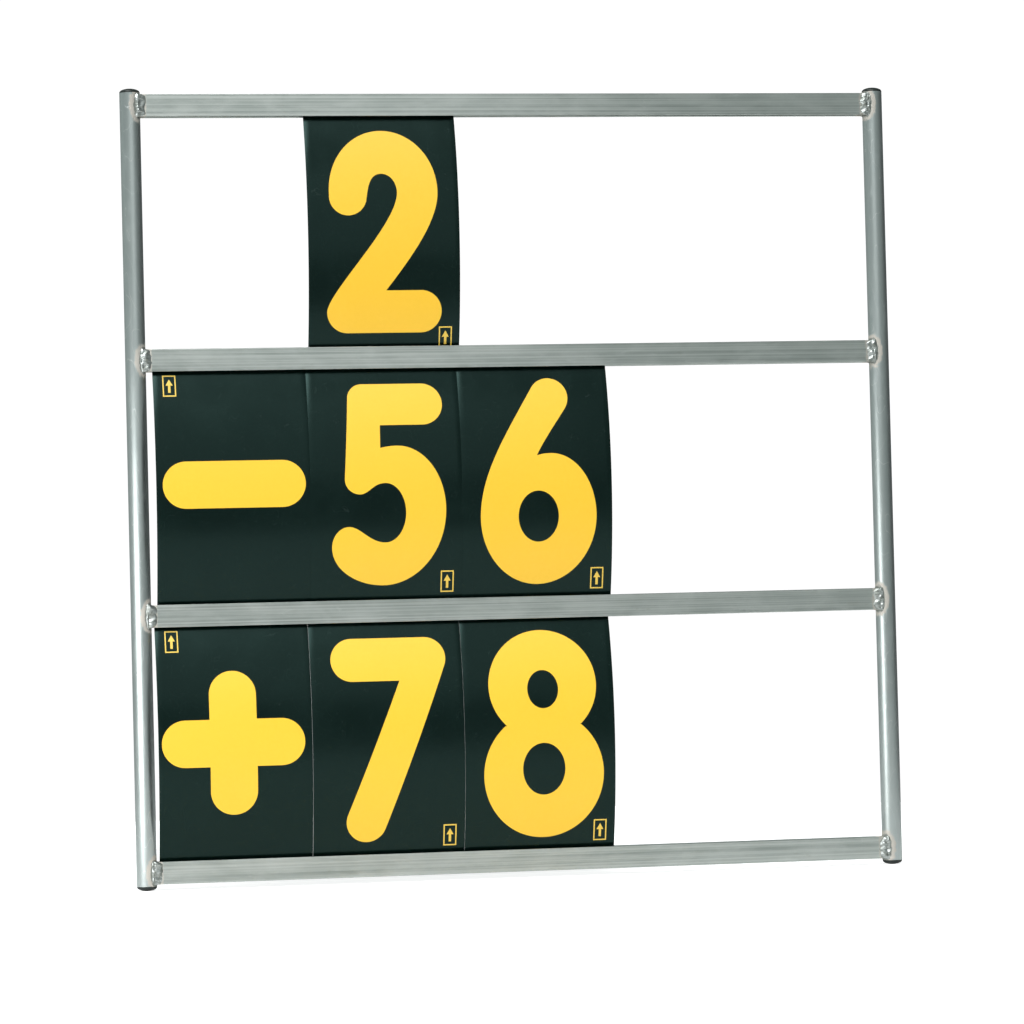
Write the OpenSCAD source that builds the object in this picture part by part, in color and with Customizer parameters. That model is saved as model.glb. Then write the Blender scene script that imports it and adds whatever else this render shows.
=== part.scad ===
// Motorsport pit board: a welded frame of two tube uprights and four channel
// rails, with bowed plastic cards that carry figures and slide along the rails.
// +Z is up, +X runs to the right and the cards face -Y. The origin is the
// bottom centre of the whole board with its cards in place.

/* [Frame] */
// Distance between the centre lines of the two uprights
upright_spacing = 750; // [700:10:900]
// Distance between the centre lines of neighbouring rails
rail_pitch = 250; // [240:1:260]

/* [Uprights] */
// Outside diameter of an upright tube
tube_d = 20; // [18:1:25]
// Wall thickness of an upright tube
tube_wall = 1.5; // [1:0.1:2]
// How far an upright runs past the top and bottom rails
tube_overrun = 2; // [1:0.5:10]

/* [End caps] */
// Thickness of the rim that sits on the end of the tube
cap_rim = 0.8; // [0.5:0.1:2]
// Height of the dome above the rim
cap_dome = 3.4; // [1.5:0.1:4]
// Length of the ribbed stem inside the tube
cap_stem = 14; // [10:1:25]

/* [Rails] */
// Height of a rail from lip to lip
rail_height = 22; // [18:1:26]
// Depth of a rail from front to back
rail_depth = 15; // [13:1:16]
// Thickness of the rail's walls and of the web between its two channels
rail_wall = 1.5; // [1:0.1:2]
// Radius of the rail's outer corners
rail_corner = 0.6; // [0.3:0.1:0.7]

/* [Welds] */
// Radius of a weld bead
bead_r = 3.4; // [2.5:0.1:4]
// Number of ripples in a weld bead
bead_ripples = 7; // [5:1:9]

/* [Cards] */
// Width of a card
card_width = 150.4; // [120:0.1:150.5]
// Thickness of a card
card_thickness = 1; // [0.8:0.1:1.5]
// Radius that a card springs to between its two rails
card_bow_radius = 335; // [320:5:400]
// Gap between neighbouring cards, middle row
middle_row_gap = 0.15; // [0.1:0.05:2]
// The same, in the bottom row
bottom_row_gap = 0.3; // [0.1:0.05:2]
// Left edge of the first card from the left upright's centre line, top row
top_row_start = 170.3; // [12:0.1:200]
// The same, in the middle row
middle_row_start = 16; // [12:0.5:80]
// The same, in the bottom row
bottom_row_start = 12.5; // [12:0.5:80]

/* [Figures] */
// Thickness of the yellow film that a figure is cut from
film_thickness = 0.15; // [0.1:0.05:0.3]
// Width of a plus or minus stroke
sign_stroke = 46; // [36:1:50]
// Length of a plus or minus stroke
sign_length = 140; // [110:1:142]

/* [Hidden] */
$fn = 72;

// Clearance that keeps a card's edges off the rail webs
edge_clear = 0.15;
// A little extra length for cutting shapes, so that faces never coincide
cut = 1;

half_span = upright_spacing / 2;
tube_r = tube_d / 2;
tube_bore_r = tube_r - tube_wall;
cap_height = cap_rim + cap_dome;
bottom_rail_z = cap_height + tube_overrun + rail_height / 2;
tube_length = 3 * rail_pitch + rail_height + 2 * tube_overrun;

// A card's edges lie behind the frame's mid-plane and its middle bows forward
card_edge_y = 3;
card_half_height = (rail_pitch - rail_wall) / 2 - edge_clear;
bow_centre_y = card_edge_y + sqrt(pow(card_bow_radius, 2) - pow(card_half_height, 2));
card_front_r = card_bow_radius + card_thickness / 2;
card_back_r = card_bow_radius - card_thickness / 2;
film_r = card_front_r + film_thickness;

// The film on the bow is the foremost point, and a weld bead or an upright the
// rearmost, so the frame's mid-plane stands a little behind the origin
bead_lift = 0.3;
rear_reach = max(tube_r, rail_depth / 2 + bead_lift + bead_r);
frame_y = (film_r - bow_centre_y - rear_reach) / 2;

aluminium = "#A6AEA9";
weld_metal = "#B9BEB9";
black_plastic = "#2A3230";
card_black = "#1E2926";
figure_yellow = "#FDD640";

// Height of rail 0 (top) to 3 (bottom), and of row 0 (top) to 2 (bottom)
function rail_z(i) = bottom_rail_z + (3 - i) * rail_pitch;
function row_z(i) = bottom_rail_z + (2.5 - i) * rail_pitch;

// Left edge of card number `place` in row `row`
row_start = [top_row_start, middle_row_start, bottom_row_start];
row_gap = [0, middle_row_gap, bottom_row_gap];
function card_x(row, place) =
    row_start[row] - half_span + place * (card_width + row_gap[row]);

// Points of an ellipse's arc, both ends included
function arc(c, rx, ry, from, to, n = 12) =
    [for (i = [0:n]) let (a = from + (to - from) * i / n)
        [c[0] + rx * cos(a), c[1] + ry * sin(a)]];

// Points of a Bezier curve, without its ends
function curve(a, b, c, d, n = 10) =
    [for (i = [1:n - 1]) let (t = i / n, u = 1 - t)
        u * u * u * a + 3 * u * u * t * b + 3 * u * t * t * c + t * t * t * d];

// ---- frame ----

// Puts a shape that is drawn about the frame's mid-plane into place
module in_frame(x = 0, z = 0) {
    translate([x, frame_y, z])
        children();
}

module upright(side) {
    color(aluminium)
        in_frame(side * half_span, cap_height)
            difference() {
                cylinder(r = tube_r, h = tube_length);
                translate([0, 0, -cut])
                    cylinder(r = tube_bore_r, h = tube_length + 2 * cut);
            }
}

// A push-in cap: domed head, rim and a hollow stem with three ribs, head up
module cap_shape() {
    dome_base_r = tube_r - 0.4;
    dome_r = (pow(dome_base_r, 2) + pow(cap_dome, 2)) / (2 * cap_dome);
    stem_r = tube_bore_r - 0.6;
    rib_height = 1.2;
    rib_step = (cap_stem - rib_height) / 3;
    cylinder(r = tube_r, h = cap_rim);
    intersection() {
        translate([0, 0, cap_rim + cap_dome - dome_r])
            sphere(r = dome_r);
        cylinder(r = dome_base_r, h = cap_height);
    }
    difference() {
        union() {
            translate([0, 0, -cap_stem])
                cylinder(r = stem_r, h = cap_stem);
            for (i = [0:2])
                translate([0, 0, -cap_stem + i * rib_step])
                    cylinder(r = tube_bore_r, h = rib_height);
        }
        translate([0, 0, -cap_stem - cut])
            cylinder(r = stem_r - 1.8, h = cap_stem);
    }
}

module end_cap(side, at_top) {
    color(black_plastic)
        in_frame(side * half_span, at_top ? cap_height + tube_length : cap_height)
            mirror([0, 0, at_top ? 0 : 1])
                cap_shape();
}

// Outline of a rail across its length, with rounded outer corners
module rail_outline() {
    corner_y = rail_depth / 2 - rail_corner;
    corner_z = rail_height / 2 - rail_corner;
    square([2 * corner_y, rail_height], center = true);
    square([rail_depth, 2 * corner_z], center = true);
    for (y = [-corner_y, corner_y])
        for (z = [-corner_z, corner_z])
            translate([y, z])
                circle(r = rail_corner);
}

// The same with its two channels, one opening up and one opening down
module rail_section() {
    channel_width = rail_depth - 2 * rail_wall;
    channel_depth = (rail_height - rail_wall) / 2;
    difference() {
        rail_outline();
        for (side = [-1, 1])
            translate([0, side * (rail_wall + channel_depth + cut) / 2])
                square([channel_width, channel_depth + cut], center = true);
    }
}

// A rail, its ends coped to sit against the uprights
module rail(i) {
    color(aluminium)
        in_frame(0, rail_z(i))
            difference() {
                rotate([90, 0, 90])
                    translate([0, 0, -half_span])
                        linear_extrude(upright_spacing)
                            rail_section();
                for (side = [-1, 1])
                    translate([side * half_span, 0, -rail_height])
                        cylinder(r = tube_r, h = 2 * rail_height);
            }
}

// A rippled bead in the corner between a rail's front face and an upright
module weld_bead() {
    corner_x = sqrt(pow(tube_r, 2) - pow(rail_depth / 2, 2));
    bead_step = (rail_height + 2) / (bead_ripples - 1);
    difference() {
        for (k = [0:bead_ripples - 1])
            translate([
                corner_x + 1.4 + 0.5 * (k % 2),
                -rail_depth / 2 - bead_lift,
                (k - (bead_ripples - 1) / 2) * bead_step
            ])
                sphere(r = bead_r - 0.3 * (k % 2), $fn = 32);
        translate([0, 0, -rail_height])
            cylinder(r = tube_r, h = 2 * rail_height);
        translate([0, -rail_depth / 2, -rail_height / 2])
            cube([tube_d, rail_depth, rail_height]);
        for (end = [-1, 1])
            translate([tube_r, -rail_depth, end > 0 ? rail_height / 2 : -rail_height])
                cube([tube_r, 2 * rail_depth, rail_height / 2]);
    }
}

// The front and back beads where rail i meets the upright on one side
module welds(i, side) {
    color(weld_metal)
        in_frame(side * half_span, rail_z(i))
            mirror([side > 0 ? 1 : 0, 0, 0])
                for (back = [0, 1])
                    mirror([0, back, 0])
                        weld_bead();
}

// ---- cards ----

// A strip between two radii of the bow, as wide and as high as a card
module bowed_strip(inner_r, outer_r) {
    bow_depth = 60;
    intersection() {
        translate([0, bow_centre_y, 0])
            rotate([0, 90, 0])
                difference() {
                    cylinder(r = outer_r, h = card_width, $fn = 360);
                    translate([0, 0, -cut])
                        cylinder(r = inner_r, h = card_width + 2 * cut, $fn = 360);
                }
        translate([-cut, -bow_depth, -card_half_height])
            cube([card_width + 2 * cut, 2 * bow_depth, 2 * card_half_height]);
    }
}

module card(row, place) {
    color(card_black)
        in_frame(card_x(row, place), row_z(row))
            bowed_strip(card_back_r, card_front_r);
}

// Film cut to a flat outline, drawn about the card's centre, lying on the card
module film(row, place) {
    reach = 60;
    color(figure_yellow)
        in_frame(card_x(row, place), row_z(row))
            intersection() {
                bowed_strip(card_front_r, film_r);
                translate([card_width / 2, 0, 0])
                    rotate([90, 0, 0])
                        linear_extrude(reach)
                            children();
            }
}

// ---- figures: about 200 mm high with round ends ----

module stroke(length) {
    r = sign_stroke / 2;
    square([length - 2 * r, 2 * r], center = true);
    for (end = [-1, 1])
        translate([end * (length / 2 - r), 0])
            circle(r = r);
}

module minus_outline() {
    translate([1, 2])
        stroke(sign_length);
}

module plus_outline() {
    translate([-2, 0]) {
        stroke(sign_length);
        rotate(90)
            stroke(sign_length);
    }
}

module two_outline() {
    hook = [-35, 33];
    base_left = [-36.5, -80];
    base_right = [36.4, -80];
    polygon(concat(
        arc([0.4, 38], 54, 61, 180, 0, 24),
        curve([54.4, 38], [54.4, 9], [28, -26], [1.5, -59.5]),
        [[1.5, -59.5]],
        arc(base_right, 20.5, 20.5, 90, -90),
        arc(base_left, 20.5, 20.5, -90, -180),
        curve([-57, -80], [-57, -61], [14, 6], [14, 37], 16),
        arc([-1, 37], 15, 18.5, 0, 90, 8),
        curve([-1, 55.5], [-12, 55.5], [-14.5, 44], [-16.5, 31]),
        arc(hook, 18.6, 18.8, -6, -180)
    ));
}

module five_outline() {
    polygon(concat(
        arc([-21, 84], 14.5, 14.5, 180, 90, 8),
        arc([38, 78], 20.5, 20.5, 90, -90),
        [[-4.5, 57.5], [-5, 35]],
        curve([-5, 35], [0, 36.2], [6, 37], [12, 37], 5),
        arc([12, -26], 47, 63, 90, 0),
        arc([-3, -26], 62, 73.6, -6, -90),
        curve([-3, -99.6], [-29, -99.6], [-54.4, -84], [-54.4, -62]),
        arc([-37.4, -62], 17, 20, 180, 90, 8),
        curve([-37.4, -42], [-26, -42], [-17, -57.8], [-1, -57.8]),
        arc([-1, -28.6], 20.2, 29.1, -90, 90, 16),
        curve([-1, 0.5], [-13, 0.5], [-17, -10], [-26, -10.3]),
        arc([-26, 4.5], 15, 14.8, -90, -180, 8)
    ));
}

module six_outline() {
    difference() {
        polygon(concat(
            curve([-57, -35], [-57, 6], [-32, 44], [-1.7, 92.4]),
            arc([15, 82.5], 19.4, 19.4, 149, -33),
            curve([31.3, 72], [24, 61], [8, 40], [0.5, 25], 6),
            [[0.5, 25]],
            curve([0.5, 25], [5, 26.6], [10, 27], [15, 27], 5),
            arc([15, -35], 44.3, 62, 90, 0),
            arc([0.5, -35], 58.8, 66.8, -6, -90),
            arc([0.5, -35], 57.5, 66.8, -96, -180)
        ));
        polygon(arc([1.1, -35], 20.2, 25.2, 0, 352.5, 47));
    }
}

module seven_outline() {
    polygon(concat(
        arc([-34, 77], 21, 21, 270, 90),
        arc([38.5, 77.5], 20.5, 20.5, 90, -21, 8),
        arc([-22.5, -81.5], 20, 20, -21, -201),
        [[12.3, 56]]
    ));
}

module eight_outline() {
    difference() {
        polygon(concat(
            arc([3.8, 48], 54, 54, -47.3, 227.3, 36),
            arc([3.4, -40], 60, 62.5, 129.4, 410.6, 40)
        ));
        polygon(arc([4, 43.8], 15.5, 18.8, 0, 350, 35));
        polygon(arc([3.5, -34.6], 21.2, 25.6, 0, 352.5, 47));
    }
}

// A small frame around an upward arrow, which shows the card's way up
module way_up_outline() {
    width = 13;
    height = 21;
    line = 1.2;
    difference() {
        square([width, height], center = true);
        square([width - 2 * line, height - 2 * line], center = true);
    }
    polygon([[-3.5, 0.5], [3.5, 0.5], [0, 6.5]]);
    translate([0, -3])
        square([2.4, 7.2], center = true);
}

// Digit cards carry the mark at the lower right, sign cards at the upper left;
// the foot of the two leaves room for its mark only further down
digit_mark_at = [60.3, -97];
two_mark_at = [61, -105.5];
sign_mark_at = [-59.3, 99.5];

module way_up_mark(row, place, at) {
    film(row, place)
        translate(at)
            way_up_outline();
}

module left_upright() { upright(-1); }
module right_upright() { upright(1); }
module top_left_cap() { end_cap(-1, true); }
module top_right_cap() { end_cap(1, true); }
module bottom_left_cap() { end_cap(-1, false); }
module bottom_right_cap() { end_cap(1, false); }
module top_rail() { rail(0); }
module upper_middle_rail() { rail(1); }
module lower_middle_rail() { rail(2); }
module bottom_rail() { rail(3); }
module top_left_welds() { welds(0, -1); }
module top_right_welds() { welds(0, 1); }
module upper_middle_left_welds() { welds(1, -1); }
module upper_middle_right_welds() { welds(1, 1); }
module lower_middle_left_welds() { welds(2, -1); }
module lower_middle_right_welds() { welds(2, 1); }
module bottom_left_welds() { welds(3, -1); }
module bottom_right_welds() { welds(3, 1); }
module two_card() { card(0, 0); }
module minus_card() { card(1, 0); }
module five_card() { card(1, 1); }
module six_card() { card(1, 2); }
module plus_card() { card(2, 0); }
module seven_card() { card(2, 1); }
module eight_card() { card(2, 2); }
module two_figure() { film(0, 0) two_outline(); }
module minus_figure() { film(1, 0) minus_outline(); }
module five_figure() { film(1, 1) five_outline(); }
module six_figure() { film(1, 2) six_outline(); }
module plus_figure() { film(2, 0) plus_outline(); }
module seven_figure() { film(2, 1) seven_outline(); }
module eight_figure() { film(2, 2) eight_outline(); }
module two_way_up_mark() { way_up_mark(0, 0, two_mark_at); }
module minus_way_up_mark() { way_up_mark(1, 0, sign_mark_at); }
module five_way_up_mark() { way_up_mark(1, 1, digit_mark_at); }
module six_way_up_mark() { way_up_mark(1, 2, digit_mark_at); }
module plus_way_up_mark() { way_up_mark(2, 0, sign_mark_at); }
module seven_way_up_mark() { way_up_mark(2, 1, digit_mark_at); }
module eight_way_up_mark() { way_up_mark(2, 2, digit_mark_at); }

left_upright();
right_upright();
top_left_cap();
top_right_cap();
bottom_left_cap();
bottom_right_cap();
top_rail();
upper_middle_rail();
lower_middle_rail();
bottom_rail();
top_left_welds();
top_right_welds();
upper_middle_left_welds();
upper_middle_right_welds();
lower_middle_left_welds();
lower_middle_right_welds();
bottom_left_welds();
bottom_right_welds();
two_card();
minus_card();
five_card();
six_card();
plus_card();
seven_card();
eight_card();
two_figure();
minus_figure();
five_figure();
six_figure();
plus_figure();
seven_figure();
eight_figure();
two_way_up_mark();
minus_way_up_mark();
five_way_up_mark();
six_way_up_mark();
plus_way_up_mark();
seven_way_up_mark();
eight_way_up_mark();
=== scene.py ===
"""Looks of the pit board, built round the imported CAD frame.

Lengths are in metres in the CAD frame: +Z up, +X right, cards facing -Y.
"""
import math

import bmesh
import bpy
from mathutils import Matrix, Vector, noise


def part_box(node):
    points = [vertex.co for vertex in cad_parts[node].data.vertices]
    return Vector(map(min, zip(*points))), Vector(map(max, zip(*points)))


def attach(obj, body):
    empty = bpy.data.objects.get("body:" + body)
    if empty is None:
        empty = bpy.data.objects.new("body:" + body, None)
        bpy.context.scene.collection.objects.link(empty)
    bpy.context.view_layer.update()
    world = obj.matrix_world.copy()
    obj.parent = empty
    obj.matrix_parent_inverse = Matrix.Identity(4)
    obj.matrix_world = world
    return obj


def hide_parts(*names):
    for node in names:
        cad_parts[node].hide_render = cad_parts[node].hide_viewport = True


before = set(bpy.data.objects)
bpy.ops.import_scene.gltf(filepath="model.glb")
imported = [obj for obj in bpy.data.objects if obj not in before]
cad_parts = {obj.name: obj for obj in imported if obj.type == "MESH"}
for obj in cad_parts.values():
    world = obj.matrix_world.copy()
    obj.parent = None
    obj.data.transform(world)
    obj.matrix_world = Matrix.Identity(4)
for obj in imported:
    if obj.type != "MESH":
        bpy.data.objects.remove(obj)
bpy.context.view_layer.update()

MM = 0.001

# ---------------------------------------------------------------- the frame's sizes

LEFT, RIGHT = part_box("left_upright"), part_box("right_upright")
TUBE_R = (LEFT[1].x - LEFT[0].x) / 2
TUBE_WALL = 1.5 * MM
TUBE_BORE_R = TUBE_R - TUBE_WALL
TUBE_LOW, TUBE_HIGH = LEFT[0].z, LEFT[1].z
SPAN = (RIGHT[0].x - LEFT[0].x) / 2  # from the middle to each upright's centre line
PLANE_Y = (LEFT[0].y + LEFT[1].y) / 2

RAILS = ["top_rail", "upper_middle_rail", "lower_middle_rail", "bottom_rail"]
RAIL_Z = [sum(corner.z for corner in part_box(name)) / 2 for name in RAILS]
RAIL_LOW, RAIL_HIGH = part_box("bottom_rail")
RAIL_HEIGHT = RAIL_HIGH.z - RAIL_LOW.z
RAIL_DEPTH = RAIL_HIGH.y - RAIL_LOW.y
RAIL_WALL = 1.5 * MM
PITCH = RAIL_Z[0] - RAIL_Z[1]

# From the top row down, and from left to right
CARDS = ["two", "minus", "five", "six", "plus", "seven", "eight"]
CARD_LOW, CARD_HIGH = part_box("two_card")
CARD_THICK = 1.0 * MM
BOW_R = 335 * MM
FILM_THICK = 0.15 * MM
BOW_Y = CARD_LOW.y + BOW_R + CARD_THICK / 2
CARD_HALF = (CARD_HIGH.z - CARD_LOW.z) / 2


# ---------------------------------------------------------------- camera

def add_camera():
    """A long lens to the left of the board and a little below its middle."""
    lens_mm, distance = 138.8, 3.92
    azimuth, elevation, roll = map(math.radians, (-9.92, -1.50, -1.42))
    middle = Vector((0, PLANE_Y, (TUBE_LOW + TUBE_HIGH) / 2))
    target = middle + Vector((-5 * MM, 0, -30 * MM))
    back = Vector((
        math.sin(azimuth) * math.cos(elevation),
        -math.cos(azimuth) * math.cos(elevation),
        math.sin(elevation),
    ))
    level = Vector((0, 0, 1)).cross(back).normalized()
    upright = back.cross(level)
    right = level * math.cos(roll) + upright * math.sin(roll)
    up = back.cross(right)
    camera = bpy.data.objects.new("camera", bpy.data.cameras.new("camera"))
    camera.data.lens = lens_mm
    camera.data.sensor_width = 36
    camera.data.clip_end = 200
    turn = Matrix((right, up, back)).transposed().to_4x4()
    camera.matrix_world = Matrix.Translation(target + back * distance) @ turn
    bpy.context.scene.collection.objects.link(camera)
    bpy.context.scene.camera = camera


# ---------------------------------------------------------------- shader helpers

class Paint:
    """A material whose Principled shader is fed by procedural nodes."""

    def __init__(self, name, **sockets):
        self.material = bpy.data.materials.new(name)
        self.material.use_nodes = True
        self.tree = self.material.node_tree
        self.shader = self.tree.nodes["Principled BSDF"]
        for socket, value in sockets.items():
            self.shader.inputs[socket.replace("_", " ")].default_value = value
        self.place = self.add("ShaderNodeTexCoord").outputs["Object"]

    def add(self, kind, **settings):
        node = self.tree.nodes.new(kind)
        for key, value in settings.items():
            setattr(node, key, value)
        return node

    def feed(self, socket, value):
        if isinstance(value, bpy.types.NodeSocket):
            self.tree.links.new(value, socket)
        else:
            socket.default_value = value

    def maths(self, operation, *values, clamp=False):
        node = self.add("ShaderNodeMath", operation=operation, use_clamp=clamp)
        for socket, value in zip(node.inputs, values):
            self.feed(socket, value)
        return node.outputs[0]

    def stretch(self, x, y, z):
        """The object's place scaled by axis, in grains per metre."""
        node = self.add("ShaderNodeVectorMath", operation="MULTIPLY")
        self.feed(node.inputs[0], self.place)
        node.inputs[1].default_value = (x, y, z)
        return node.outputs[0]

    def axes(self):
        node = self.add("ShaderNodeSeparateXYZ")
        self.feed(node.inputs[0], self.place)
        return node.outputs

    def grain(self, scale, detail=3.0, rough=0.5, distortion=0.0, place=None):
        node = self.add("ShaderNodeTexNoise")
        self.feed(node.inputs["Vector"], place or self.place)
        node.inputs["Scale"].default_value = scale
        node.inputs["Detail"].default_value = detail
        node.inputs["Roughness"].default_value = rough
        node.inputs["Distortion"].default_value = distortion
        return node.outputs["Fac"]

    def spread(self, value, low, high, to_low=0.0, to_high=1.0):
        """Maps value smoothly from low..high to to_low..to_high."""
        node = self.add("ShaderNodeMapRange", interpolation_type="SMOOTHSTEP")
        for socket, number in zip(node.inputs, (value, low, high, to_low, to_high)):
            self.feed(socket, number)
        return node.outputs[0]

    def blend(self, amount, first, second):
        node = self.add("ShaderNodeMix", data_type="RGBA", blend_type="MIX")
        self.feed(node.inputs[0], amount)
        self.feed(node.inputs[6], first)
        self.feed(node.inputs[7], second)
        return node.outputs[2]

    def scratches(self, scale, width, place=None):
        """Thin wandering lines: 1 on a line and 0 off it."""
        wander = self.grain(scale, 1.0, 0.4, 1.2, place)
        away = self.maths("ABSOLUTE", self.maths("SUBTRACT", wander, 0.5))
        return self.spread(away, 0.0, width, 1.0, 0.0)

    def bump(self, height, distance, under=None):
        node = self.add("ShaderNodeBump")
        node.inputs["Strength"].default_value = 1.0
        node.inputs["Distance"].default_value = distance
        self.feed(node.inputs["Height"], height)
        if under is not None:
            self.feed(node.inputs["Normal"], under)
        return node.outputs[0]

    def finish(self, colour=None, roughness=None, normal=None):
        for name, value in (("Base Color", colour), ("Roughness", roughness),
                            ("Normal", normal)):
            if value is not None:
                self.feed(self.shader.inputs[name], value)
        return self.material


# ---------------------------------------------------------------- materials

def weld_etch(paint, reach_x, reach_z):
    """1 in a ragged oval round each weld, and 0 away from it."""
    weld_x = SPAN - 8 * MM
    x, _, z = paint.axes()
    inward = paint.maths("SUBTRACT", weld_x, paint.maths("ABSOLUTE", x))
    from_rail = paint.maths("SUBTRACT", z, RAIL_Z[3] - PITCH / 2)
    within = paint.maths("SUBTRACT", paint.maths("FLOORED_MODULO", from_rail, PITCH),
                         PITCH / 2)
    across = paint.maths("POWER", paint.maths("DIVIDE", inward, reach_x), 2.0)
    along = paint.maths("POWER", paint.maths("DIVIDE", within, reach_z), 2.0)
    ragged = paint.spread(paint.grain(260, 3), 0.2, 0.8, -0.22, 0.22)
    distance = paint.maths("ADD", paint.maths("ADD", across, along), ragged)
    return paint.spread(distance, 0.8, 1.15, 1.0, 0.0)


def tube_metal():
    """Drawn aluminium tube: fine lengthwise lines, rub marks and nicks, and a painted shade
    ring round each weld bead.
    """
    paint = Paint("tube_aluminium", Metallic=1.0, Anisotropic=0.6)
    lines = paint.grain(1.0, 4, 0.6, place=paint.stretch(1500, 1500, 9))
    clouds = paint.grain(38, 5, 0.6)
    rubs = paint.spread(paint.grain(1.0, 5, 0.7, 0.4, paint.stretch(90, 90, 30)), 0.52, 0.72)
    nicks = paint.scratches(1.0, 0.006, paint.stretch(55, 55, 18))
    etch = weld_etch(paint, 9.5 * MM, 17 * MM)
    # painted shade: a dark ring hugging each weld bead stands in for the shadow in the
    # crease between bead and tube
    rim = weld_etch(paint, 5.2 * MM, 13.4 * MM)
    metal = paint.blend(clouds, (0.50, 0.555, 0.55, 1), (0.60, 0.65, 0.64, 1))
    metal = paint.blend(paint.maths("MULTIPLY", nicks, 0.5), metal, (0.86, 0.87, 0.85, 1))
    metal = paint.blend(paint.maths("MULTIPLY", etch, 0.85), metal, (0.72, 0.67, 0.61, 1))
    # the painted crease shade round each bead darkens the tube's colour here
    metal = paint.blend(paint.maths("MULTIPLY", rim, 0.80), metal, (0.26, 0.29, 0.27, 1))
    rough = paint.maths("ADD", 0.29, paint.maths("MULTIPLY", rubs, 0.10))
    rough = paint.maths("ADD", rough, paint.maths("MULTIPLY", lines, 0.06))
    rough = paint.maths("ADD", rough, paint.maths("MULTIPLY", etch, 0.28), clamp=True)
    shape = paint.bump(lines, 0.02 * MM)
    shape = paint.bump(nicks, -0.03 * MM, under=shape)
    return paint.finish(metal, rough, shape)


def rail_metal():
    """Extruded aluminium in mill finish: die lines, smudges and scuffs."""
    paint = Paint("rail_aluminium", Metallic=1.0, Anisotropic=0.75,
                  Anisotropic_Rotation=0.25)
    lines = paint.grain(1.0, 3, 0.55, place=paint.stretch(0.8, 420, 420))
    hair = paint.grain(1.0, 2, 0.6, place=paint.stretch(14, 2600, 2600))
    smudges = paint.grain(1.0, 5, 0.62, 0.3, paint.stretch(22, 60, 60))
    scuffs = paint.scratches(1.0, 0.010, paint.stretch(5, 110, 110))
    grime = paint.grain(1.0, 6, 0.7, 0.8, paint.stretch(30, 120, 120))
    grime = paint.spread(grime, 0.60, 0.74)
    etch = weld_etch(paint, 7.5 * MM, 60 * MM)
    die_lines = paint.grain(1.0, 2, 0.5, place=paint.stretch(1.6, 800, 800))
    streaks = paint.spread(lines, 0.32, 0.68)
    metal = paint.blend(streaks, (0.355, 0.395, 0.375, 1), (0.51, 0.552, 0.525, 1))
    metal = paint.blend(paint.spread(smudges, 0.35, 0.7, 0.0, 0.45), metal,
                        (0.66, 0.69, 0.665, 1))
    metal = paint.blend(paint.spread(die_lines, 0.38, 0.66, 0.0, 0.50), metal,
                        (0.74, 0.77, 0.745, 1))
    metal = paint.blend(paint.maths("MULTIPLY", grime, 0.30), metal, (0.30, 0.31, 0.26, 1))
    metal = paint.blend(paint.maths("MULTIPLY", scuffs, 0.16), metal, (0.80, 0.82, 0.80, 1))
    metal = paint.blend(paint.maths("MULTIPLY", etch, 0.7), metal, (0.66, 0.62, 0.56, 1))
    rough = paint.maths("ADD", 0.25, paint.maths("MULTIPLY", smudges, 0.12))
    rough = paint.maths("ADD", rough, paint.maths("MULTIPLY", etch, 0.2), clamp=True)
    shape = paint.bump(lines, 0.035 * MM)
    shape = paint.bump(hair, 0.015 * MM, under=shape)
    shape = paint.bump(scuffs, -0.01 * MM, under=shape)
    return paint.finish(metal, rough, shape)


def weld_metal():
    """Weld metal with a fine frozen grain and dark soot."""
    paint = Paint("weld_metal", Metallic=1.0)
    fine = paint.grain(500, 2, 0.5)
    soot = paint.spread(paint.grain(240, 4, 0.6), 0.42, 0.62)
    metal = paint.blend(soot, (0.47, 0.50, 0.49, 1), (0.25, 0.27, 0.25, 1))
    rough = paint.maths("ADD", 0.31, paint.maths("MULTIPLY", soot, 0.18))
    return paint.finish(metal, rough, paint.bump(fine, 0.012 * MM))


def cap_plastic():
    """Moulded black plastic with a fine spark texture, worn paler in spots."""
    paint = Paint("cap_plastic")
    spark = paint.grain(1600, 2, 0.5)
    wear = paint.spread(paint.grain(210, 5, 0.65), 0.52, 0.78)
    colour = paint.blend(wear, (0.010, 0.016, 0.014, 1), (0.030, 0.040, 0.036, 1))
    rough = paint.maths("ADD", 0.40, paint.maths("MULTIPLY", wear, 0.22))
    return paint.finish(colour, rough, paint.bump(spark, 0.03 * MM))


def card_plastic():
    """Black calendered sheet: satin gloss, faint waves, dust and hairlines."""
    paint = Paint("card_plastic", IOR=1.395, Specular_Tint=(0.58, 1.0, 0.93, 1))
    peel = paint.grain(420, 2, 0.5)
    waves = paint.grain(11, 2, 0.5)
    haze = paint.spread(paint.grain(16, 5, 0.6, 0.4), 0.35, 0.75)
    hairs = paint.scratches(60, 0.0025)
    dust = paint.spread(paint.grain(1400, 1, 0.4), 0.73, 0.80)
    colour = paint.blend(haze, (0.0004, 0.0032, 0.0024, 1), (0.0010, 0.0046, 0.0036, 1))
    colour = paint.blend(paint.maths("MULTIPLY", dust, 0.05), colour, (0.30, 0.32, 0.30, 1))
    colour = paint.blend(paint.maths("MULTIPLY", hairs, 0.03), colour, (0.20, 0.24, 0.22, 1))
    rough = paint.maths("ADD", 0.20, paint.maths("MULTIPLY", haze, 0.07))
    rough = paint.maths("ADD", rough, paint.maths("MULTIPLY", hairs, 0.10))
    shape = paint.bump(peel, 0.012 * MM)
    shape = paint.bump(waves, 0.25 * MM, under=shape)
    return paint.finish(colour, rough, shape)


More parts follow.
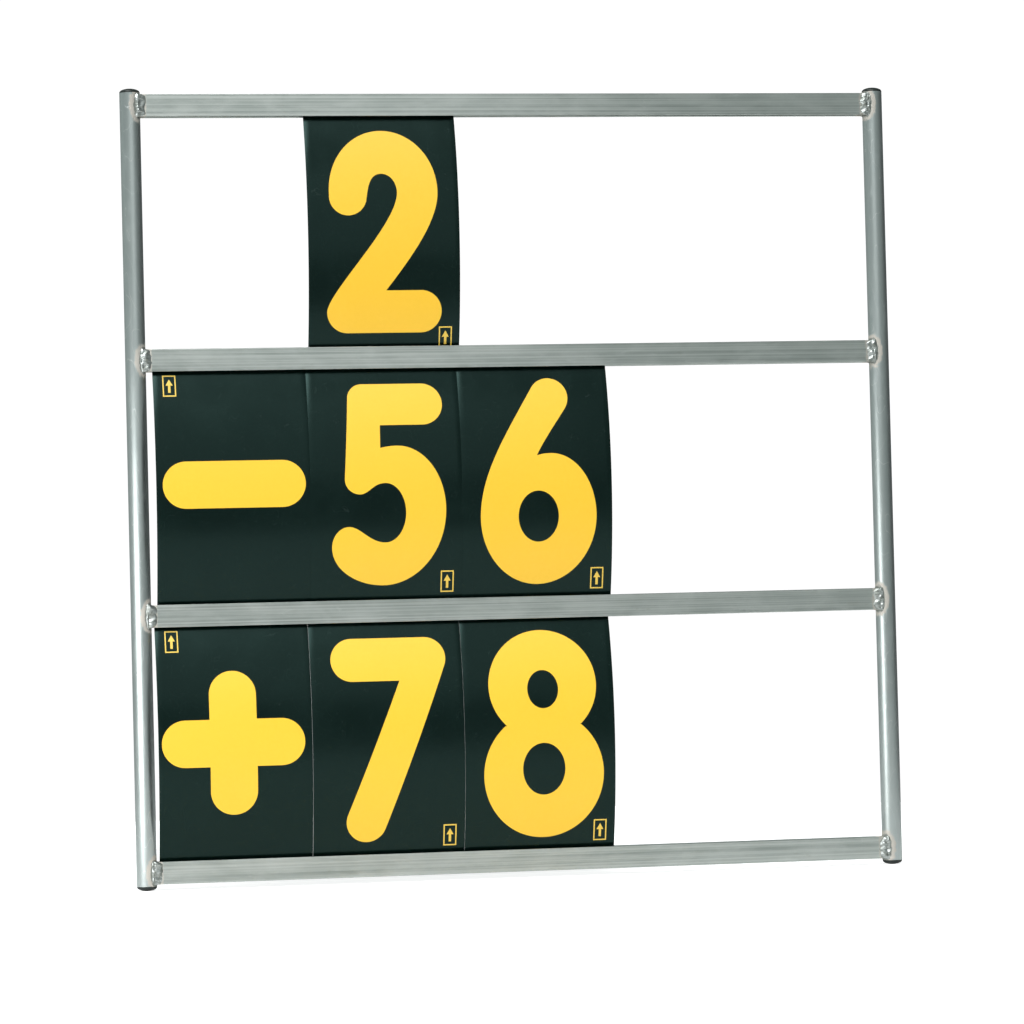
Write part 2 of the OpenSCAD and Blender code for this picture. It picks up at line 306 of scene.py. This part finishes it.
def yellow_film(name, strong, pale):
    """Cast vinyl film: slight mottle, a soft sheen and a few hairlines."""
    paint = Paint(name, IOR=1.68)
    mottle = paint.grain(300, 4, 0.6)
    patches = paint.grain(24, 3, 0.5)
    hairs = paint.scratches(75, 0.0025)
    colour = paint.blend(paint.spread(mottle, 0.3, 0.7, 0.0, 0.5), strong, pale)
    colour = paint.blend(paint.spread(patches, 0.3, 0.7, 0.0, 0.5), colour, strong)
    rough = paint.maths("ADD", 0.34, paint.maths("MULTIPLY", patches, 0.12))
    rough = paint.maths("ADD", rough, paint.maths("MULTIPLY", hairs, 0.10))
    shape = paint.bump(mottle, 0.010 * MM)
    return paint.finish(colour, rough, shape)


# ---------------------------------------------------------------- mesh helpers

def add_piece(name, mesh, material, body, slot, *nodes, sharp=40):
    """Makes a mesh a piece of the object, in place of CAD nodes."""
    mesh.set_sharp_from_angle(angle=math.radians(sharp))
    mesh.materials.append(material)
    piece = bpy.data.objects.new(name, mesh)
    bpy.context.scene.collection.objects.link(piece)
    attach(piece, body)
    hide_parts(*nodes)
    return piece


def in_order(shape):
    """The same surface with its vertices and faces in an order that never varies."""
    verts = sorted(shape.verts, key=lambda v: tuple(round(c, 7) for c in v.co))
    rank = {v: i for i, v in enumerate(verts)}
    rings = []
    for face in shape.faces:
        ring = [rank[v] for v in face.verts]
        first = ring.index(min(ring))
        rings.append(ring[first:] + ring[:first])
    fresh = bmesh.new()
    placed = [fresh.verts.new(v.co) for v in verts]
    for ring in sorted(rings):
        fresh.faces.new([placed[i] for i in ring])
    shape.free()
    return fresh


def to_mesh(name, shape, merge=1e-7):
    bmesh.ops.remove_doubles(shape, verts=shape.verts, dist=merge)
    bmesh.ops.recalc_face_normals(shape, faces=shape.faces)
    shape = in_order(shape)
    for face in shape.faces:
        face.smooth = True
    mesh = bpy.data.meshes.new(name)
    shape.to_mesh(mesh)
    shape.free()
    return mesh


def join_loops(shape, loops, closed_path=False):
    """Faces between neighbouring closed loops of vertices."""
    pairs = list(zip(loops, loops[1:]))
    if closed_path:
        pairs.append((loops[-1], loops[0]))
    for first, second in pairs:
        count = len(first)
        for i in range(count):
            j = (i + 1) % count
            corners = [first[i], first[j], second[j], second[i]]
            if len(set(corners)) == 4:
                shape.faces.new(corners)


def lathe(shape, profile, centre, closed=True, segments=96):
    """Turns (radius, height) points round the vertical line through centre."""
    angles = [2 * math.pi * i / segments for i in range(segments)]
    loops = []
    for radius, height in profile:
        loops.append([
            shape.verts.new((centre[0] + radius * math.cos(a),
                             centre[1] + radius * math.sin(a), height))
            for a in angles
        ])
    join_loops(shape, loops, closed)


def rounded(corners, steps=4):
    """Points round a right-angled outline of (a, b, corner radius), filleted."""
    points = []
    for i, (a, b, radius) in enumerate(corners):
        here = Vector((a, b))
        before = (Vector(corners[i - 1][:2]) - here).normalized()
        after = (Vector(corners[(i + 1) % len(corners)][:2]) - here).normalized()
        half = before.angle(after) / 2
        centre = here + (before + after).normalized() * (radius / math.sin(half))
        start = here + before * (radius / math.tan(half)) - centre
        end = here + after * (radius / math.tan(half)) - centre
        turn = math.radians(90)
        for k in range(steps + 1):
            first, last = math.sin(turn * (1 - k / steps)), math.sin(turn * k / steps)
            points.append(centre + start * first + end * last)
    return points


def dense(points, step):
    """The same closed outline with no side longer than step."""
    out = []
    for here, there in zip(points, points[1:] + points[:1]):
        count = max(1, math.ceil((there - here).length / step))
        out += [here.lerp(there, k / count) for k in range(count)]
    return out


def fill_ends(shape, *loops):
    """Closes each loop of vertices with triangles."""
    for loop in loops:
        edges = []
        for here, there in zip(loop, loop[1:] + loop[:1]):
            edge = shape.edges.get((here, there))
            edges.append(edge or shape.edges.new((here, there)))
        bmesh.ops.triangle_fill(shape, edges=edges, use_beauty=True)


# ---------------------------------------------------------------- frame pieces

def upright(name, x, material):
    """An open tube with lightly chamfered ends."""
    chamfer = 0.35 * MM
    profile = [
        (TUBE_BORE_R, TUBE_LOW + chamfer), (TUBE_BORE_R + chamfer, TUBE_LOW),
        (TUBE_R - chamfer, TUBE_LOW), (TUBE_R, TUBE_LOW + chamfer),
        (TUBE_R, TUBE_HIGH - chamfer), (TUBE_R - chamfer, TUBE_HIGH),
        (TUBE_BORE_R + chamfer, TUBE_HIGH), (TUBE_BORE_R, TUBE_HIGH - chamfer),
    ]
    shape = bmesh.new()
    lathe(shape, profile, (x, PLANE_Y))
    add_piece(name + "_tube", to_mesh(name + "_tube", shape), material,
              "frame", "tube_aluminium", name)


def end_cap(name, x, material):
    """A domed push-in cap with a hollow stem and three ribs."""
    low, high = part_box(name)
    at_top = low.z > PITCH
    seat = TUBE_HIGH if at_top else TUBE_LOW
    out = 1 if at_top else -1
    height = abs((high.z if at_top else low.z) - seat)
    rim, stem, skin = 0.8 * MM, 14 * MM, 1.0 * MM
    shoulder = TUBE_R - 0.4 * MM
    stem_r, bore_r = TUBE_BORE_R - 0.6 * MM, TUBE_BORE_R - 2.4 * MM
    profile = [(0, height)]
    dome, dome_steps = height - rim, 14
    for k in range(1, dome_steps + 1):
        a = math.pi / 2 * k / dome_steps
        profile.append((shoulder * math.sin(a) ** 1.15, rim + dome * math.cos(a)))
    profile += [(TUBE_R - 0.15 * MM, rim), (TUBE_R, rim - 0.2 * MM),
                (TUBE_R, 0.15 * MM), (TUBE_R - 0.15 * MM, 0), (stem_r, 0)]
    for k in (2, 1, 0):
        foot = -stem + k * (stem - 1.2 * MM) / 3
        profile += [(stem_r, foot + 1.5 * MM), (TUBE_BORE_R, foot + 1.0 * MM),
                    (TUBE_BORE_R, foot + 0.6 * MM), (stem_r, foot)]
    profile += [(bore_r, -stem), (bore_r, -skin), (0, -skin)]
    shape = bmesh.new()
    lathe(shape, [(r, seat + out * z) for r, z in profile], (x, PLANE_Y), closed=False)
    add_piece(name + "_moulding", to_mesh(name + "_moulding", shape), material,
              "frame", "cap_plastic", name, sharp=35)


def die_line(z):
    """Depth of the shallow lengthwise grooves that the die leaves on a rail."""
    # (height on the face, half width, depth) in millimetres
    lines = [(-8.6, 0.7, 0.06), (-3.2, 0.5, 0.05), (1.4, 0.4, 0.04),
             (4.9, 0.9, 0.06), (8.8, 0.5, 0.05)]
    return sum(depth * MM * math.exp(-((z / MM - at) / width) ** 2)
               for at, width, depth in lines)


def rail(name, z, material):
    """The H section, swept between the uprights, with its ends coped to them."""
    half_h, half_d = RAIL_HEIGHT / 2, RAIL_DEPTH / 2
    inner, web = half_d - RAIL_WALL, RAIL_WALL / 2
    outer_r, tip_r, root_r = 0.6 * MM, 0.8 * MM, 0.5 * MM
    quarter = [(half_d, half_h, outer_r), (inner, half_h, tip_r), (inner, web, root_r)]
    corners = list(quarter)
    corners += [(-a, b, r) for a, b, r in reversed(quarter)]
    corners += [(-a, -b, r) for a, b, r in quarter]
    corners += [(a, -b, r) for a, b, r in reversed(quarter)]
    section = []
    for y, height in dense(rounded(corners), 0.7 * MM):
        if abs(abs(y) - half_d) < 0.01 * MM:
            y -= math.copysign(die_line(height), y)
        section.append((y, height))
    shape = bmesh.new()
    loops = []
    stations = 24
    for i in range(stations + 1):
        loop = []
        for y, height in section:
            reach = SPAN - math.sqrt(TUBE_R ** 2 - y ** 2)
            x = reach * (2 * i / stations - 1)
            loop.append(shape.verts.new((x, PLANE_Y + y, z + height)))
        loops.append(loop)
    join_loops(shape, loops)
    fill_ends(shape, loops[0], loops[-1])
    add_piece(name + "_extrusion", to_mesh(name + "_extrusion", shape), material,
              "frame", "rail_aluminium", name, sharp=30)


def weld_bead(shape, side, face, z, seed):
    """A rippled bead in the corner of upright and rail, front (-1) or back (1)."""
    corner = math.sqrt(TUBE_R ** 2 - (RAIL_DEPTH / 2) ** 2)
    corner_angle = math.atan2(RAIL_DEPTH / 2, corner)
    across, along = 22, 64
    half_tall = (12.4 + 1.0 * noise.noise(Vector((seed, 0, 0)))) * MM
    over_tube, over_rail = (2.8 * MM, 8.2 * MM) if side < 0 else (3.4 * MM, 7.4 * MM)
    ripple_step = 3.9 * MM

    def skin(u, v, lift):
        """A point over the corner. u runs from -1 on the tube to 1 on the rail,
        v from -1 at the foot to 1 at the top, and a negative lift is buried."""
        height = half_tall * v
        ragged = 1 + 0.24 * noise.noise(Vector((seed, 3.5 * v, 0.3 * u)))
        if u < 0:
            width = over_tube * math.sqrt(max(0, 1 - abs(v) ** 4)) * ragged
            angle = corner_angle + abs(u) * width / TUBE_R
            base = Vector((TUBE_R * math.cos(angle), TUBE_R * math.sin(angle)))
            out = base.normalized()
        else:
            room = max(0, 1 - (height / (RAIL_HEIGHT / 2 + 0.5 * MM)) ** 6)
            width = over_rail * math.sqrt(room) * ragged
            base = Vector((corner + u * width, RAIL_DEPTH / 2))
            out = Vector((0, 1))
        near_corner = max(0.0, 1 - abs(u) * 2.2)
        middle = Vector((math.cos(corner_angle) * 0.5, 1)).normalized()
        out = out.lerp(middle, near_corner * 0.8).normalized()
        phase = (height + 1.5 * MM * u * u) / ripple_step + 0.35 * seed
        phase += 0.35 * noise.noise(Vector((seed * 3, 3 * v, 0)))
        ripple = 1 - (phase - math.floor(phase))
        ripple = ripple * ripple * (3 - 2 * ripple)
        lump = noise.noise(Vector((0.9 * u, 2.1 * v, seed * 5)))
        crumple = noise.noise(Vector((1.7 * u, 4.2 * v, seed * 9)))
        crown = (1 - abs(u) ** 2.6) * (1 - abs(v) ** 6)
        rise = crown * (1.7 + 0.35 * ripple + 1.9 * lump + 0.8 * crumple) * MM
        point = base + out * (lift + max(0.0, rise) * (lift >= 0))
        return Vector((side * (SPAN - point.x), PLANE_Y + face * point.y, z + height))

    loops = []
    for i in range(along + 1):
        v = 2 * i / along - 1
        v = math.copysign(abs(v) ** 0.9, v)
        us = [2 * j / across - 1 for j in range(across + 1)]
        top = [skin(u, v, 0.02 * MM) for u in us]
        under = [skin(u, v, -0.5 * MM) for u in reversed(us)]
        loops.append([shape.verts.new(p) for p in top + under])
    join_loops(shape, loops)
    fill_ends(shape, loops[0], loops[-1])


def welds(name, side, z, seed, material):
    """The front and back beads of one joint. name is the CAD node, *_welds."""
    shape = bmesh.new()
    weld_bead(shape, side, -1, z, seed)
    weld_bead(shape, side, 1, z, seed + 0.5)
    add_piece(name[:-1] + "_beads", to_mesh(name, shape, 1e-6), material,
              "frame", "weld_metal", name, sharp=60)


# ---------------------------------------------------------------- cards and film

def on_card(x, height, lift, row_z):
    """A point of the bowed sheet, lift in front of its middle surface."""
    radius = BOW_R + lift
    angle = math.asin(height / BOW_R)
    return Vector((x, BOW_Y - radius * math.cos(angle), row_z + radius * math.sin(angle)))


def card(name, material):
    """The bowed sheet, with slightly rounded edges."""
    low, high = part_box(name + "_card")
    row_z, middle = (low.z + high.z) / 2, (low.x + high.x) / 2
    overlap = 0.06 * MM  # leaves only a hairline between two cards that touch
    half_w = (high.x - low.x) / 2 + overlap
    half_t, edge_r = CARD_THICK / 2, 0.08 * MM
    corners = [(-half_w, -half_t, edge_r), (half_w, -half_t, edge_r),
               (half_w, half_t, edge_r), (-half_w, half_t, edge_r)]
    section = dense(rounded(corners, 3), 6 * MM)
    reach = CARD_HALF - 0.25 * MM  # keeps the tilted ends within the CAD's height
    stations = 72
    shape = bmesh.new()
    loops = []
    for i in range(stations + 1):
        height = reach * (2 * i / stations - 1)
        loops.append([shape.verts.new(on_card(middle + x, height, lift, row_z))
                      for x, lift in section])
    join_loops(shape, loops)
    fill_ends(shape, loops[0], loops[-1])
    add_piece(name + "_sheet", to_mesh(name + "_sheet", shape), material,
              name + "_plate", "card_plastic", name + "_card", sharp=50)


def film(piece_name, name, outlines, material, slot, node):
    """Film cut to flat outlines in millimetres about the card's centre, then bowed."""
    low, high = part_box(name + "_card")
    row_z, middle = (low.z + high.z) / 2, (low.x + high.x) / 2
    shape = bmesh.new()
    edges = []
    for outline in outlines:
        ring = [shape.verts.new((a * MM, b * MM, 0)) for a, b in outline]
        edges += [shape.edges.new(pair) for pair in zip(ring, ring[1:] + ring[:1])]
    bmesh.ops.triangle_fill(shape, edges=edges, use_beauty=True)
    heights = [v.co.y for v in shape.verts]
    step = 4 * MM  # flat strips this high follow the bow
    for k in range(math.ceil(min(heights) / step), math.floor(max(heights) / step) + 1):
        everything = shape.verts[:] + shape.edges[:] + shape.faces[:]
        bmesh.ops.bisect_plane(shape, geom=everything, dist=1e-7,
                               plane_co=(0, k * step, 0), plane_no=(0, 1, 0))
    base = shape.faces[:]
    top = bmesh.ops.extrude_face_region(shape, geom=base, use_keep_orig=True)
    for item in top["geom"]:
        if isinstance(item, bmesh.types.BMVert):
            item.co.z = FILM_THICK
    seat = CARD_THICK / 2 - 0.02 * MM  # just inside the sheet's front face
    for v in shape.verts:
        v.co = on_card(middle + v.co.x, v.co.y, seat + v.co.z, row_z)
    add_piece(piece_name, to_mesh(piece_name, shape), material,
              name + "_plate", slot, node, sharp=30)


# ---------------------------------------------------------------- figure outlines

# Millimetres from the card's centre. The + and - share one stroke.
STROKE_R, STROKE_REACH = 23, 70


def arc(centre, rx, ry, start, end, count=28):
    """Points of an elliptical arc, from one angle to another in degrees."""
    angles = [math.radians(start + (end - start) * i / count) for i in range(count + 1)]
    return [(centre[0] + rx * math.cos(a), centre[1] + ry * math.sin(a)) for a in angles]


def oval(centre, rx, ry):
    """A closed ellipse."""
    return arc(centre, rx, ry, 0, 354, 59)


def curve(a, b, c, d, count=24):
    """Points of a Bezier curve, without its ends."""
    points = []
    for i in range(1, count):
        t = i / count
        u = 1 - t
        weights = (u ** 3, 3 * u * u * t, 3 * u * t * t, t ** 3)
        points.append(tuple(sum(w * p[k] for w, p in zip(weights, (a, b, c, d)))
                            for k in (0, 1)))
    return points


def minus_figure():
    r, reach = STROKE_R, STROKE_REACH
    return [arc((1 + reach - r, 2), r, r, 90, -90) + arc((1 - reach + r, 2), r, r, 270, 90)]


def plus_figure():
    r, reach = STROKE_R, STROKE_REACH
    outline = []
    for turn in (0, 90, 180, 270):
        a = math.radians(turn)
        arm = [(r, r)] + arc((reach - r, 0), r, r, 90, -90)
        outline += [(x * math.cos(a) + y * math.sin(a) - 2,
                     -x * math.sin(a) + y * math.cos(a)) for x, y in arm]
    return [outline]


def two_figure():
    return [
        arc((0.4, 38), 54, 61, 180, 0, 60)
        + curve((54.4, 38), (54.4, 9), (28, -26), (1.5, -59.5))
        + [(1.5, -59.5)]
        + arc((36.4, -80), 20.5, 20.5, 90, -90)
        + arc((-36.5, -80), 20.5, 20.5, -90, -180)
        + curve((-57, -80), (-57, -61), (14, 6), (14, 37), 36)
        + arc((-1, 37), 15, 18.5, 0, 90, 16)
        + curve((-1, 55.5), (-12, 55.5), (-14.5, 44), (-16.5, 31))
        + arc((-35, 33), 18.6, 18.8, -6, -180)
    ]


def five_figure():
    return [
        arc((-21, 84), 14.5, 14.5, 180, 90, 16)
        + arc((38, 78), 20.5, 20.5, 90, -90)
        + [(-4.5, 57.5), (-5, 35)]
        + curve((-5, 35), (0, 36.2), (6, 37), (12, 37), 8)
        + arc((12, -26), 47, 63, 90, 0)
        + arc((-3, -26), 62, 73.6, -3, -90)
        + curve((-3, -99.6), (-29, -99.6), (-54.4, -84), (-54.4, -62))
        + arc((-37.4, -62), 17, 20, 180, 90, 16)
        + curve((-37.4, -42), (-26, -42), (-17, -57.8), (-1, -57.8))
        + arc((-1, -28.6), 20.2, 29.1, -90, 90, 36)
        + curve((-1, 0.5), (-13, 0.5), (-17, -10), (-26, -10.3))
        + arc((-26, 4.5), 15, 14.8, -90, -180, 16)
    ]


def six_figure():
    return [
        curve((-57, -35), (-57, 6), (-32, 44), (-1.7, 92.4))
        + arc((15, 82.5), 19.4, 19.4, 149, -33)
        + curve((31.3, 72), (24, 61), (8, 40), (0.5, 25), 12)
        + [(0.5, 25)]
        + curve((0.5, 25), (5, 26.6), (10, 27), (15, 27), 8)
        + arc((15, -35), 44.3, 62, 90, 0)
        + arc((0.5, -35), 58.8, 66.8, -3, -90)
        + arc((0.5, -35), 57.5, 66.8, -93, -180),
        oval((1.1, -35), 20.2, 25.2),
    ]


def seven_figure():
    return [
        arc((-34, 77), 21, 21, 270, 90)
        + arc((38.5, 77.5), 20.5, 20.5, 90, -21)
        + arc((-22.5, -81.5), 20, 20, -21, -201)
        + [(12.3, 56)]
    ]


def eight_figure():
    return [
        arc((3.8, 48), 54, 54, -47.3, 227.3, 72)
        + arc((3.4, -40), 60, 62.5, 129.4, 410.6, 80),
        oval((4, 43.8), 15.5, 18.8),
        oval((3.5, -34.6), 21.2, 25.6),
    ]


def way_up_mark(at):
    """A small frame, and the upward arrow in it."""
    def box(half_w, half_h):
        return [(at[0] + a * half_w, at[1] + b * half_h)
                for a, b in ((-1, -1), (1, -1), (1, 1), (-1, 1))]

    arrow = [(-1.2, -6.6), (1.2, -6.6), (1.2, 0.5), (3.5, 0.5),
             (0, 6.5), (-3.5, 0.5), (-1.2, 0.5)]
    return [box(6.5, 10.5), box(5.3, 9.3)], [[(at[0] + a, at[1] + b) for a, b in arrow]]


FIGURES = {
    "two": two_figure, "minus": minus_figure, "five": five_figure, "six": six_figure,
    "plus": plus_figure, "seven": seven_figure, "eight": eight_figure,
}
USUAL_MARK = (60.3, -97)
OTHER_MARKS = {"two": (61, -105.5), "minus": (-59.3, 99.5), "plus": (-59.3, 99.5)}


# ---------------------------------------------------------------- studio

def add_floor():
    """A round pale floor, with a glow that only the camera sees, to make it white."""
    shape = bmesh.new()
    bmesh.ops.create_circle(shape, cap_ends=True, segments=96, radius=1.4)
    mesh = bpy.data.meshes.new("floor")
    shape.to_mesh(mesh)
    shape.free()
    paint = Paint("floor", Roughness=0.9)
    paint.shader.inputs["Specular IOR Level"].default_value = 0.0
    paint.shader.inputs["Emission Color"].default_value = (1, 1, 1, 1)
    seen = paint.add("ShaderNodeLightPath").outputs["Is Camera Ray"]
    glow = paint.maths("MULTIPLY", seen, 0.75)
    paint.feed(paint.shader.inputs["Emission Strength"], glow)
    tone = paint.blend(paint.grain(1.4, 2), (0.86, 0.86, 0.86, 1), (0.90, 0.90, 0.90, 1))
    mesh.materials.append(paint.finish(tone))
    floor = bpy.data.objects.new("floor", mesh)
    bpy.context.scene.collection.objects.link(floor)


def add_world():
    """White to the camera. To the rest, a room that is dim at the right and
    lighter overhead, at the front left and at the back left."""
    world = bpy.data.worlds.new("studio")
    bpy.context.scene.world = world
    world.use_nodes = True
    tree = world.node_tree

    def maps(value, low, high, to_low, to_high):
        node = tree.nodes.new("ShaderNodeMapRange")
        node.interpolation_type = "SMOOTHSTEP"
        tree.links.new(value, node.inputs[0])
        for socket, number in zip(node.inputs[1:5], (low, high, to_low, to_high)):
            socket.default_value = number
        return node.outputs[0]

    def plus(first, second):
        node = tree.nodes.new("ShaderNodeMath")
        node.operation = "ADD"
        tree.links.new(first, node.inputs[0])
        tree.links.new(second, node.inputs[1])
        return node.outputs[0]

    def towards(way):
        """How nearly a direction agrees with way: 1 is along it."""
        node = tree.nodes.new("ShaderNodeVectorMath")
        node.operation = "DOT_PRODUCT"
        tree.links.new(direction, node.inputs[0])
        node.inputs[1].default_value = way
        return node.outputs["Value"]

    direction = tree.nodes.new("ShaderNodeTexCoord").outputs["Generated"]
    parts = tree.nodes.new("ShaderNodeSeparateXYZ")
    tree.links.new(direction, parts.inputs[0])
    front_left = maps(towards((-0.42, -0.91, 0)), -0.6, 0.75, 0.10, 0.35)
    back_left = maps(towards((-0.72, 0.69, 0)), 0.45, 0.95, 0.0, 0.24)
    overhead = maps(parts.outputs[2], 0.14, 0.60, 0.0, 0.12)
    room = tree.nodes["Background"]
    room.inputs["Color"].default_value = (0.90, 1.0, 0.975, 1)
    tree.links.new(plus(plus(front_left, overhead), back_left), room.inputs["Strength"])
    white = tree.nodes.new("ShaderNodeBackground")
    white.inputs["Color"].default_value = (1, 1, 1, 1)
    white.inputs["Strength"].default_value = 1.05
    seen = tree.nodes.new("ShaderNodeLightPath")
    mix = tree.nodes.new("ShaderNodeMixShader")
    tree.links.new(seen.outputs["Is Camera Ray"], mix.inputs[0])
    tree.links.new(room.outputs[0], mix.inputs[1])
    tree.links.new(white.outputs[0], mix.inputs[2])
    tree.links.new(mix.outputs[0], tree.nodes["World Output"].inputs[0])


def soft_light(name, place, aim, size, power):
    """A white panel light that the camera doesn't see, with its power in watts."""
    light = bpy.data.lights.new(name, "AREA")
    light.shape = "RECTANGLE"
    light.size, light.size_y = size
    light.energy = power
    lamp = bpy.data.objects.new(name, light)
    lamp.location = place
    lamp.rotation_euler = (Vector(aim) - Vector(place)).to_track_quat("-Z", "Y").to_euler()
    lamp.visible_camera = False
    bpy.context.scene.collection.objects.link(lamp)


def add_lights():
    soft_light("low_left", (-1.14, -0.80, 0.19), (-0.85, 0, 0.19), (1.00, 0.52), 5.6)
    soft_light("front_high", (-0.18, -1.50, 0.95), (-0.15, 0, 0.60), (1.1, 0.9), 1.35)
    soft_light("front_top", (-0.35, -1.05, 1.55), (0, 0, 0.40), (1.3, 0.8), 0.65)
    sun = bpy.data.lights.new("overhead", "SUN")
    sun.energy = 2.75
    sun.angle = math.radians(50)
    lamp = bpy.data.objects.new("overhead", sun)
    lamp.rotation_euler = Vector((1.0, 1.5, -1.9)).to_track_quat("-Z", "Y").to_euler()
    bpy.context.scene.collection.objects.link(lamp)


# ---------------------------------------------------------------- build

bpy.context.scene.view_settings.view_transform = "Standard"
add_camera()
add_floor()
add_world()
add_lights()

tube_paint, rail_paint, weld_paint = tube_metal(), rail_metal(), weld_metal()
cap_paint, card_paint = cap_plastic(), card_plastic()
figure_paint = yellow_film("figure_film", (0.90, 0.525, 0.015, 1), (0.94, 0.555, 0.028, 1))
mark_paint = yellow_film("mark_film", (0.78, 0.52, 0.060, 1), (0.86, 0.58, 0.080, 1))

for side, word in ((-1, "left"), (1, "right")):
    upright(word + "_upright", side * SPAN, tube_paint)
    for end in ("top", "bottom"):
        end_cap(f"{end}_{word}_cap", side * SPAN, cap_paint)
    for i, rail_name in enumerate(RAILS):
        seed = 1.7 + i + 4.3 * (side > 0)
        welds(rail_name.replace("rail", f"{word}_welds"), side, RAIL_Z[i], seed, weld_paint)

for rail_name, rail_z in zip(RAILS, RAIL_Z):
    rail(rail_name, rail_z, rail_paint)

for card_name in CARDS:
    card(card_name, card_paint)
    film(card_name + "_cut_film", card_name, FIGURES[card_name](), figure_paint,
         "figure_film", card_name + "_figure")
    border, arrow = way_up_mark(OTHER_MARKS.get(card_name, USUAL_MARK))
    film(card_name + "_mark_border", card_name, border, mark_paint,
         "mark_film", card_name + "_way_up_mark")
    film(card_name + "_mark_arrow", card_name, arrow, mark_paint,
         "mark_film", card_name + "_way_up_mark")
